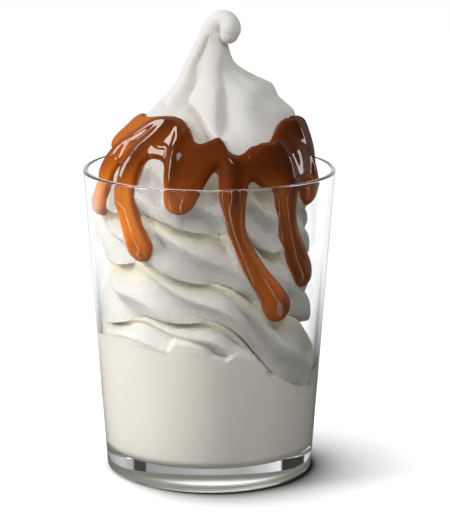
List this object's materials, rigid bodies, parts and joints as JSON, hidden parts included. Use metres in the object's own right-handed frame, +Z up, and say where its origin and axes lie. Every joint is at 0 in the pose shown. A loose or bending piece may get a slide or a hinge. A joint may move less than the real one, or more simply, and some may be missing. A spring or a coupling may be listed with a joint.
{
  "type": "ice cream sundae",
  "caption": "Soft serve piped in a leaning coil with a curled peak, coated with dripping caramel sauce, in a straight clear glass tumbler.",
  "frame": {"origin": "centre of the tumbler's foot, on the surface that it stands on", "axes": "+Z up along the tumbler's axis, -Y towards the front, +X to the right seen from the front"},
  "size_m": [0.0838, 0.0838, 0.1547],
  "materials": {
    "tumbler": "clear polished glass",
    "soft_serve": "soft white ice cream with a fine grain",
    "caramel_sauce": "glossy translucent caramel, amber where thin and brown where thick"
  },
  "bodies": {
    "root": {"tumbler": "tumbler", "soft_serve": "soft_serve", "caramel_sauce": "caramel_sauce"}
  },
  "joints": []
}
